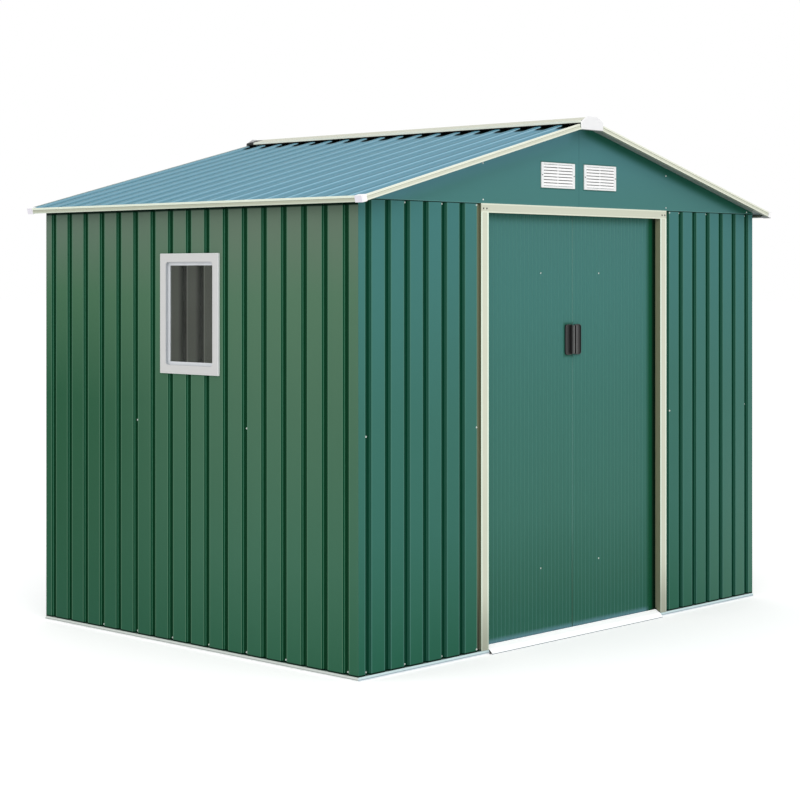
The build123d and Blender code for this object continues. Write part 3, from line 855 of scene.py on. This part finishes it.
def zincCoat(name, spec):
    material, shader, wire, place = startMaterial(name, spec)
    spangle = flakes(wire, place, spec["flakes"]).step(*spec["spangleAt"])
    feed(shader, "Base Color", spangle.mix(spec["zinc"], spec["spangle"]))
    coatFinish(shader, wire, place, spec["roughness"])
    return material


def railCoat(name, spec):
    material, shader, wire, place = startMaterial(name, spec)
    xyz = axes(wire, place)
    height = xyz[2]
    # painted light and shade: the rail's folds take bands by height, a dark line along the bend and
    # a darker shelf on top; the front rail's copy is bluer
    coat = height.step(*spec["lowAt"]).mix(spec["white"], spec["low"])
    coat = height.step(*spec["bendAt"]).mix(coat, spec["slope"])
    coat = height.band(*spec["bendAt"], spec["bendSoft"]).mix(coat, spec["bend"])
    coat = height.step(*spec["shelfAt"]).mix(coat, spec["shelf"])
    spangle = flakes(wire, place, spec["flakes"]).step(*spec["flakeAt"]) * spec["flakeShare"]
    coat = spangle.mix(coat, spec["bend"])
    # painted shade on the front rail where the ramp covers it
    covered = abs(xyz[0]).step(rampHalf, rampHalf - spec["underSoft"])
    covered = covered * xyz[1].step(*spec["underFrom"])
    feed(shader, "Base Color", covered.mix(coat, spec["underRamp"]))
    coatFinish(shader, wire, place, spec["roughness"])
    return material


def rampCoat(name, spec):
    material, shader, wire, place = startMaterial(name, spec)
    height = axes(wire, place)[2]
    normal = facing(wire)
    sheenAndScuff = noise(wire, place, spec["scuffScale"], spec["scuffDetail"]).step(*spec["scuffAt"])
    coat = (sheenAndScuff * spec["sheenAndScuffShare"]).mix(spec["white"], spec["sheenAndScuff"])
    # painted shade along the nose
    nose = height.step(*spec["noseHeight"])
    coat = nose.mix(coat, spec["nose"])
    # painted shade on the faces that look down or back, and on the ends
    up, back = spec["underLean"]
    under = (normal[2] * up - normal[1] * back).step(*spec["underTurn"])
    under = under.larger(abs(normal[0]).step(*spec["endTurn"]))
    feed(shader, "Base Color", under.mix(coat, spec["under"]))
    # painted light: the top glows a little
    feed(shader, "Emission Color", under.larger(nose).mix(spec["glow"], spec["black"]))
    shader.inputs["Emission Strength"].default_value = 1.0
    coatFinish(shader, wire, place, spec["roughness"])
    return material


zinc = zincCoat("galvanisedSteel", zincSpec)
baseRail = railCoat("baseRailSteel", railSpec)
sideRail = railCoat("sideRailSteel", sideRailSpec)
for name in nodes:
    if name.startswith("base_rail"):
        paintNode(name, sideRail if name.endswith(("left", "right")) else baseRail)
    elif any(word in name for word in ("rail", "track", "beams", "fittings")):
        paintNode(name, zinc)
paintNode("door_ramp", rampCoat("rampWhite", rampSpec))
print("rails and ramp painted")

plasticSpec = {
    "cloud": 25.0,
    "front": tone(248, 248, 247),
    "side": tone(224, 221, 229),
    "sideTurn": (0.5, 0.9),
    "under": tone(120, 122, 122),
    "underTurn": (-0.5, -0.8),
    "wearAt": (0.55, 0.8),
    "wearShare": 0.15,
    "roughness": 0.5,
    "specular": 0.4,
}
endCapSpec = dict(
    plasticSpec,
    front=tone(236, 236, 237),
    side=tone(250, 250, 248),
    back=tone(44, 52, 50),
    backFrom=(0.0, 0.1),
    backSide=(-0.1, -0.3),
    backEnd=(0.6, 0.4),
)
ventPlasticSpec = dict(
    plasticSpec,
    front=tone(238, 240, 240),
    side=tone(216, 218, 218),
    under=tone(150, 152, 152),
    slat=tone(246, 246, 246),
    slatSoft=0.5 * mm,
    slatTurn=(-0.8, -0.5),
    unlit=tone(0, 0, 0),
    glow=0.06,
    border=(13.5 * mm, 7.0 * mm),
    plate=4.0 * mm,
    soft=1.0 * mm,
    softSteps=2,
    slats=7,
    gap=2.5 * mm,
    sheet=1.2 * mm,
    lean=math.radians(-12),
    mullion=4.0 * mm,
)


def mouldedPlastic(name, spec):
    material, shader, wire, place = startMaterial(name, spec)
    xyz = axes(wire, place)
    normal = facing(wire)
    cloud = noise(wire, place, spec["cloud"])
    # painted light and shade: the sides and the undersides take their own tones
    paint = abs(normal[0]).step(*spec["sideTurn"]).mix(spec["front"], spec["side"])
    paint = normal[2].step(*spec["underTurn"]).mix(paint, spec["under"])
    paint = (cloud.step(*spec["wearAt"]) * spec["wearShare"]).mix(paint, spec["side"])
    if "back" in spec:
        # painted shade on the rear cap's sides, which lie in the gap behind the last rib
        hidden = normal[0].step(*spec["backSide"]) * normal[1].step(*spec["backEnd"])
        paint = (xyz[1].step(*spec["backFrom"]) * hidden).mix(paint, spec["back"])
    if "glow" in spec:
        # painted light: in the mouth, the faces that don't look down are lighter and glow a little
        soft = spec["slatSoft"]
        mouth = outsideVents(xyz, spec["border"]).step(soft, -soft)
        lit = mouth * normal[2].step(*spec["slatTurn"])
        paint = lit.mix(paint, spec["slat"])
        feed(shader, "Emission Color", lit.mix(spec["unlit"], spec["slat"]))
        shader.inputs["Emission Strength"].default_value = spec["glow"]
    feed(shader, "Base Color", paint)
    coatFinish(shader, wire, place, spec["roughness"])
    return material


paintNode("eave_corner_caps", mouldedPlastic("cornerCapWhite", plasticSpec))
paintNode("ridge_end_caps", mouldedPlastic("endCapWhite", endCapSpec))
ventWhite = mouldedPlastic("ventWhite", ventPlasticSpec)


def addBar(mesh, size, at, lean=0.0):
    bar = bmesh.ops.create_cube(mesh, size=1.0)["verts"]
    turned = Matrix.Rotation(lean, 4, "X") @ Matrix.Diagonal((*size, 1.0))
    bmesh.ops.transform(mesh, matrix=Matrix.Translation(Vector(at)) @ turned, verts=bar)


def louvre(spec, half):
    # bordered plate lying in the XY plane, with leaning slats and a thin middle bar in its mouth
    sideBorder, border = spec["border"]
    mouthX, mouthY = half[0] - sideBorder, half[1] - border
    vent = bmesh.new()
    bmesh.ops.create_grid(vent, x_segments=1, y_segments=1, size=1.0)
    bmesh.ops.scale(vent, vec=(*half, 1.0), verts=vent.verts)
    back = vent.faces[:]
    grown = bmesh.ops.extrude_face_region(vent, geom=back)["geom"]
    top = facesOf(grown)
    bmesh.ops.translate(vent, vec=(0, 0, spec["plate"]), verts=vertsOf(grown))
    rim = [e for e in vent.edges if any(v.co.z > spec["plate"] / 2 for v in e.verts)]
    bmesh.ops.inset_region(vent, faces=top, thickness=border, use_even_offset=True)
    narrower = mouthX / (half[0] - border)
    bmesh.ops.scale(vent, vec=(narrower, 1.0, 1.0), verts=top[0].verts[:])
    walls = bmesh.ops.extrude_face_region(vent, geom=top)["geom"]
    bmesh.ops.translate(vent, vec=(0, 0, -spec["plate"]), verts=vertsOf(walls))
    bmesh.ops.delete(vent, geom=back + top + facesOf(walls), context="FACES_ONLY")
    softenEdges(vent, [e for e in rim if e.is_valid], spec["soft"], spec["softSteps"])
    pitch = 2 * mouthY / spec["slats"]
    slat = (2 * mouthX, pitch - spec["gap"], spec["sheet"])
    for row in range(spec["slats"]):
        level = pitch * (row + 0.5) - mouthY
        addBar(vent, slat, (0, level, spec["plate"] / 2), spec["lean"])
    addBar(vent, (spec["mullion"], 2 * mouthY, spec["sheet"]), (0, 0, spec["sheet"]))
    return vent


for end, outward, turn in (("front", -1, 0.0), ("back", 1, math.pi)):
    pair = bmesh.new()
    upright = Matrix.Rotation(turn, 4, "Z") @ Matrix.Rotation(math.pi / 2, 4, "X")
    for sign in (-1, 1):
        vent = louvre(ventPlasticSpec, ventSpec["half"])
        at = Vector((sign * ventSpec["centre"], -outward * gableFace, ventSpec["level"]))
        bmesh.ops.transform(vent, matrix=Matrix.Translation(at) @ upright, verts=vent.verts)
        bmesh.ops.recalc_face_normals(vent, faces=vent.faces)
        joinInto(pair, vent)
    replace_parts(newPiece(end + "Vents", pair, ventWhite, "shed"), end + "_vents")

windowSpec = {
    "grain": 30.0,
    "grainShare": 0.2,
    "face": tone(197, 197, 196),
    "edge": tone(222, 225, 225),
    "edgeAt": (-3.0 * mm, -1.0 * mm),
    "edgeShare": 0.9,
    "rebate": tone(210, 213, 216),
    "rebateAt": (8.0 * mm, 10.0 * mm),
    "side": tone(172, 177, 181),
    "sideAt": (-20.0 * mm, -26.0 * mm),
    "sideTurn": (0.8, 0.4),
    "roughness": 0.42,
    "specular": 0.4,
}


def windowPlastic(name, spec):
    material, shader, wire, place = startMaterial(name, spec)
    xyz = axes(wire, place)
    normal = facing(wire)
    low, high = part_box("window_frame")
    middle, half = (low + high) / 2, (high - low) / 2
    inwards = (abs(xyz[1] - middle.y) - half.y).larger(abs(xyz[2] - middle.z) - half.z)
    grain = noise(wire, place, spec["grain"])
    # painted highlight along the outer edge and on the rebate, painted shade on the opening's sides
    edge = inwards.step(*spec["edgeAt"]) * spec["edgeShare"]
    paint = edge.mix(spec["face"], spec["edge"])
    paint = sway(grain, spec["grainShare"]).mix(paint, spec["edge"])
    paint = (xyz[0] - low.x).step(*spec["rebateAt"]).mix(paint, spec["rebate"])
    side = abs(normal[0]).step(*spec["sideTurn"]) * inwards.step(*spec["sideAt"])
    feed(shader, "Base Color", side.mix(paint, spec["side"]))
    coatFinish(shader, wire, place, spec["roughness"])
    return material


paintNode("window_frame", windowPlastic("windowPlastic", windowSpec))

paneSpec = {
    "haze": 6.0,
    "tint": tone(150, 156, 148),
    "streak": tone(170, 176, 168),
    "alpha": (0.025, 0.03),
    "roughness": 0.06,
}


def paneMaterial(name, spec):
    material, shader, wire, place = startMaterial(name, spec)
    haze = noise(wire, place, spec["haze"])
    feed(shader, "Base Color", haze.mix(spec["tint"], spec["streak"]))
    clearest, gain = spec["alpha"]
    feed(shader, "Alpha", haze * gain + clearest)
    material.surface_render_method = "BLENDED"
    return material


paintNode("window_pane", paneMaterial("windowPane", paneSpec))
print("plastics and window painted")

handleSpec = {
    "plastic": tone(20, 20, 20),
    "rimTone": tone(46, 46, 47),
    "rimFrom": (4.5 * mm, 6.0 * mm),
    "gripTone": tone(84, 85, 84),
    "gripFrom": (7.0 * mm, 9.0 * mm),
    "sheenAndScuff": 60.0,
    "sheenAndScuffShare": (0.8, 0.3),
    "gapSoft": 1.0 * mm,
    "gapTurn": (0.4, 0.8),
    "roughness": 0.36,
    "corner": 11.0 * mm,
    "cornerSteps": 6,
    "rim": 2.8 * mm,
    "rimReach": 6.0 * mm,
    "floor": 2.5 * mm,
    "gripWidth": 9.0 * mm,
    "gripReach": 16.0 * mm,
    "gripInset": 3.0 * mm,
    "gripSteps": 4,
    "soft": 1.6 * mm,
    "softSteps": 3,
    "sharpAngle": 0.5,
    "slack": 0.1 * mm,
}


def handlePlastic(name, spec):
    material, shader, wire, place = startMaterial(name, spec)
    xyz = axes(wire, place)
    normal = facing(wire)
    out = doorFace - xyz[1]
    # painted highlight on the rim and, brighter, on the grip, broken up by noise
    leastShare, gain = spec["sheenAndScuffShare"]
    sheenAndWear = noise(wire, place, spec["sheenAndScuff"]) * gain + leastShare
    paint = (out.step(*spec["rimFrom"]) * sheenAndWear).mix(spec["plastic"], spec["rimTone"])
    paint = (out.step(*spec["gripFrom"]) * sheenAndWear).mix(paint, spec["gripTone"])
    # the right grip's face that looks across the gap is in the dark
    soft = spec["gapSoft"]
    across = normal[0] * xyz[0].step(leafGap - soft, leafGap + soft) * -1.0
    feed(shader, "Base Color", across.step(*spec["gapTurn"]).mix(paint, spec["plastic"]))
    coatFinish(shader, wire, place, spec["roughness"])
    return material


blackPlastic = handlePlastic("handlePlastic", handleSpec)
for leaf, sign in (("left", -1), ("right", 1)):
    low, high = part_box(leaf + "_door_handle")
    width, height = high.x - low.x, high.z - low.z
    middle = Vector(((low.x + high.x) / 2, doorFace, (low.z + high.z) / 2))
    stand = Matrix.Translation(middle) @ Matrix.Rotation(math.pi / 2, 4, "X")
    tray = bmesh.new()
    bmesh.ops.create_grid(tray, x_segments=1, y_segments=1, size=0.5)
    bmesh.ops.scale(tray, vec=(width, height, 1.0), verts=tray.verts)
    bmesh.ops.bevel(
        tray,
        geom=tray.verts[:],
        affect="VERTICES",
        offset=handleSpec["corner"],
        segments=handleSpec["cornerSteps"],
        profile=0.5,
        material=-1,
    )
    # the rim rises, and the pocket sinks back within it
    rimReach = handleSpec["rimReach"]
    grown = bmesh.ops.extrude_face_region(tray, geom=tray.faces[:])["geom"]
    rimTop = facesOf(grown)
    bmesh.ops.translate(tray, vec=(0, 0, rimReach), verts=vertsOf(grown))
    bmesh.ops.inset_region(tray, faces=rimTop, thickness=handleSpec["rim"], use_even_offset=True)
    pocket = bmesh.ops.extrude_face_region(tray, geom=rimTop)["geom"]
    bmesh.ops.translate(tray, vec=(0, 0, handleSpec["floor"] - rimReach), verts=vertsOf(pocket))
    bmesh.ops.delete(tray, geom=rimTop, context="FACES_ONLY")
    sharp = [
        e
        for e in tray.edges
        if all(abs(v.co.z - rimReach) < handleSpec["slack"] for v in e.verts)
        and len(e.link_faces) == 2
        and e.calc_face_angle() > handleSpec["sharpAngle"]
    ]
    softenEdges(tray, sharp, handleSpec["soft"], handleSpec["softSteps"])
    gripWidth, gripReach = handleSpec["gripWidth"], handleSpec["gripReach"]
    grip = bmesh.ops.create_cube(tray, size=1.0)["verts"]
    gripLength = height - 2 * handleSpec["gripInset"]
    bmesh.ops.scale(tray, vec=(gripWidth, gripLength, gripReach), verts=grip)
    gripPlace = -sign * (width - gripWidth) / 2
    bmesh.ops.translate(tray, vec=(gripPlace, 0, gripReach / 2), verts=grip)
    gripEdges = list({e for v in grip for e in v.link_edges if max(w.co.z for w in e.verts) > mm})
    softenEdges(tray, gripEdges, 2 * handleSpec["soft"], handleSpec["gripSteps"])
    bmesh.ops.transform(tray, matrix=stand, verts=tray.verts)
    bmesh.ops.recalc_face_normals(tray, faces=tray.faces)
    handle = newPiece(leaf + "Handle", tray, blackPlastic, leaf + "_leaf")
    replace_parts(handle, leaf + "_door_handle")
print("handles shaped")

screwSpec = {
    "profile": [(0.0, 1.0), (0.45, 0.92), (0.78, 0.62), (0.86, 0.3), (1.0, 0.26), (1.06, -0.1)],
    "steps": 10,
    "weld": 0.01 * mm,
    "zinc": tone(226, 232, 226),
    "worn": tone(176, 184, 178),
    "dark": tone(58, 60, 52),
    "darkWorn": tone(84, 86, 76),
    "sheenAndWear": 220.0,
    "wearDetail": 2.0,
    "wearAt": (0.4, 0.7),
    "metallic": 0.2,
    "roughness": 0.35,
}


def screwMetal(name, paint, worn):
    material, shader, wire, place = startMaterial(name, screwSpec)
    sheenAndWear = noise(wire, place, screwSpec["sheenAndWear"], screwSpec["wearDetail"])
    feed(shader, "Base Color", sheenAndWear.step(*screwSpec["wearAt"]).mix(paint, worn))
    coatFinish(shader, wire, place, screwSpec["roughness"])
    return material


def screws(name, spots, outward, size, material, body):
    # each spot is a point on the sheet, outward the direction that the heads face
    radius, height = size
    heads = bmesh.new()
    turn = Vector((0, 0, 1)).rotation_difference(Vector(outward)).to_matrix().to_4x4()
    for spot in spots:
        head = bmesh.new()
        rim = [head.verts.new((radius * r, 0, height * h)) for r, h in screwSpec["profile"]]
        line = [head.edges.new(pair) for pair in zip(rim, rim[1:])]
        bmesh.ops.spin(
            head,
            geom=rim + line,
            cent=(0, 0, 0),
            axis=(0, 0, 1),
            angle=2 * math.pi,
            steps=screwSpec["steps"],
            use_merge=True,
        )
        bmesh.ops.remove_doubles(head, verts=head.verts, dist=screwSpec["weld"])
        bmesh.ops.transform(head, matrix=Matrix.Translation(Vector(spot)) @ turn, verts=head.verts)
        bmesh.ops.recalc_face_normals(head, faces=head.faces)
        joinInto(heads, head)
    return newPiece(name, heads, material, body)


paleScrew = screwMetal("paleScrew", screwSpec["zinc"], screwSpec["worn"])
darkScrew = screwMetal("darkScrew", screwSpec["dark"], screwSpec["darkWorn"])

# wall screws go through the groove floors into the rails behind them
wallScrewSpec = {
    "floor": 8.5 * mm,
    "foot": 26.0 * mm,
    "middle": 819.0 * mm,
    "head": 1613.0 * mm,
    "frontFoot": (-12, -10, -8),
    "frontMiddle": (-12, 12),
    "frontHead": (-12, -10, -8, 7, 9, 12),
    "besideFrame": 598.0 * mm,
    "backFoot": (-12, -9, -6, -3, 0, 3, 6, 9, 12),
    "backMiddle": (-12, -6, 0, 6, 12),
    "backHead": (-12, -9, -6, -3, 0, 3, 6, 9, 12),
    "sideFoot": (0, 3, 5, 7, 9, 11, 13),
    "sideMiddle": (5, 11),
    "shift": -3.0 * mm,
    "size": (3.5 * mm, 3.2 * mm),
}
rows = (("foot", "Foot"), ("middle", "Middle"), ("head", "Head"))
shift, size = wallScrewSpec["shift"], wallScrewSpec["size"]
for end, sign in (("front", -1), ("back", 1)):
    plane = sign * (-frontFace - wallScrewSpec["floor"])
    spots = [
        (groove * frontGroovePitch + shift, plane, wallScrewSpec[level])
        for level, row in rows
        for groove in wallScrewSpec[end + row]
    ]
    if end == "front":
        beside = wallScrewSpec["besideFrame"]
        spots += [(-beside, frontFace, wallScrewSpec[level]) for level, row in rows]
        spots += [(beside, frontFace, wallScrewSpec[level]) for level, row in rows[1:]]
    screws(end + "WallScrews", spots, (0, sign, 0), size, paleScrew, "shed")
for side, sign in (("left", -1), ("right", 1)):
    plane = sign * (halfWidth - wallScrewSpec["floor"])
    spots = [
        (plane, sideGrooveStart + groove * sideGroovePitch + shift, wallScrewSpec[level])
        for level, row in rows[:2]
        for groove in wallScrewSpec["side" + row]
    ]
    screws(side + "WallScrews", spots, (sign, 0, 0), size, paleScrew, "shed")

headerScrewSpec = {
    "places": (-561, -543, 544, 563),
    "level": 1602.5 * mm,
    "size": (3.4 * mm, 2.0 * mm),
}
spots = [(x * mm, frameFace, headerScrewSpec["level"]) for x in headerScrewSpec["places"]]
screws("headerScrews", spots, (0, -1, 0), headerScrewSpec["size"], darkScrew, "shed")

gableScrewSpec = {
    "places": [(-563, 1634), (571, 1632), (-564, 1765), (571, 1760), (-1160, 1629), (1160, 1629)],
    "size": (3.2 * mm, 2.2 * mm),
}
ventScrewSpec = {"inset": 6.0 * mm, "size": (2.4 * mm, 1.4 * mm)}
for end, face, outward in (("front", gableFace, -1), ("back", -gableFace, 1)):
    spots = [(x * mm, face, z * mm) for x, z in gableScrewSpec["places"]]
    aim = (0, outward, 0)
    screws(end + "GableScrews", spots, aim, gableScrewSpec["size"], paleScrew, "shed")
    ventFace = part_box(end + "_vents")[0 if outward < 0 else 1].y
    centre, ventEdge = ventSpec["centre"], ventSpec["half"][0] - ventScrewSpec["inset"]
    spots = [
        (centre * vent + ventEdge * edge, ventFace, ventSpec["level"])
        for vent in (-1, 1)
        for edge in (-1, 1)
    ]
    screws(end + "VentScrews", spots, aim, ventScrewSpec["size"], darkScrew, "shed")

rivetSpec = {
    "left": -200.0 * mm,
    "right": 158.0 * mm,
    "levels": (270.5 * mm, 1370.5 * mm),
    "size": (3.0 * mm, 1.6 * mm),
}
for leaf in ("left", "right"):
    spots = [(rivetSpec[leaf], doorFace, level) for level in rivetSpec["levels"]]
    screws(leaf + "DoorRivets", spots, (0, -1, 0), rivetSpec["size"], paleScrew, leaf + "_leaf")
print("screws placed")

stageSpec = {
    "floorSize": 80.0,
    "floorTone": (0.9, 0.9, 0.9, 1.0),
    "lift": 0.3,
    "white": (1.0, 1.0, 1.0, 1.0),
    "skyLevel": 0.85,
}

floorMesh = bmesh.new()
bmesh.ops.create_grid(floorMesh, x_segments=1, y_segments=1, size=stageSpec["floorSize"])
floorData = bpy.data.meshes.new("floor")
floorMesh.to_mesh(floorData)
floorMesh.free()
floor = bpy.data.objects.new("floor", floorData)
bpy.context.scene.collection.objects.link(floor)


def seenDirectly(wire):
    # 1 for camera, glossy and transmission rays
    rays = ("Is Camera Ray", "Is Glossy Ray", "Is Transmission Ray")
    camera, glossy, through = [wire.node("LightPath", output=ray) for ray in rays]
    return wire.math("MINIMUM", camera + glossy + through, 1.0)


floorMaterial = bpy.data.materials.new("floorWhite")
floorMaterial.use_nodes = True
floorTree = floorMaterial.node_tree
floorTree.nodes.clear()
floorWire = Wire(floorTree)
matte = floorWire.node("BsdfDiffuse", sockets={0: stageSpec["floorTone"]})
lift = seenDirectly(floorWire) * stageSpec["lift"]
glow = floorWire.node("Emission", sockets={0: stageSpec["white"], 1: lift})
both = floorWire.node("AddShader", sockets={0: matte, 1: glow})
floorOut = floorTree.nodes.new("ShaderNodeOutputMaterial")
floorTree.links.new(both.socket, floorOut.inputs[0])
floorData.materials.append(floorMaterial)

world = bpy.data.worlds.new("studio")
bpy.context.scene.world = world
world.use_nodes = True
world.node_tree.nodes.clear()
sky = Wire(world.node_tree)
level = seenDirectly(sky) * (1.0 - stageSpec["skyLevel"]) + stageSpec["skyLevel"]
background = sky.node("Background", sockets={0: stageSpec["white"], 1: level})
worldOut = world.node_tree.nodes.new("ShaderNodeOutputWorld")
world.node_tree.links.new(background.socket, worldOut.inputs[0])

lampSpec = {
    "key": {"at": (-4.5, -6.5, 7.0), "aim": (0.0, 0.0, 0.9), "size": 6.0, "watts": 260.0},
    "fill": {"at": (-8.0, 3.0, 5.0), "aim": (0.0, 0.0, 0.9), "size": 5.0, "watts": 90.0},
    "inside": {"at": (-0.3, -0.25, 1.3), "aim": (-0.45, 0.85, 1.2), "size": 0.5, "watts": 4.4},
}
for lampName, spec in lampSpec.items():
    lampData = bpy.data.lights.new(lampName, "AREA")
    lampData.energy = spec["watts"]
    lampData.size = spec["size"]
    lamp = bpy.data.objects.new(lampName, lampData)
    lamp.location = spec["at"]
    lamp.rotation_mode = "QUATERNION"
    lamp.rotation_quaternion = (Vector(spec["aim"]) - lamp.location).to_track_quat("-Z", "Y")
    bpy.context.scene.collection.objects.link(lamp)

cameraSpec = {
    "at": (-5.9091, -5.3511, 1.3622),
    "turn": math.radians(-46.024),
    "lens": 87.496,
    "sensor": 36.0,
    "shift": (0.0625, -0.1558),
}
cameraData = bpy.data.cameras.new("camera")
cameraData.sensor_width = cameraSpec["sensor"]
cameraData.lens = cameraSpec["lens"]
cameraData.shift_x, cameraData.shift_y = cameraSpec["shift"]
camera = bpy.data.objects.new("camera", cameraData)
camera.location = cameraSpec["at"]
camera.rotation_euler = (math.pi / 2, 0, cameraSpec["turn"])
bpy.context.scene.collection.objects.link(camera)
bpy.context.scene.camera = camera
bpy.context.scene.view_settings.view_transform = "Standard"
print("stage set")
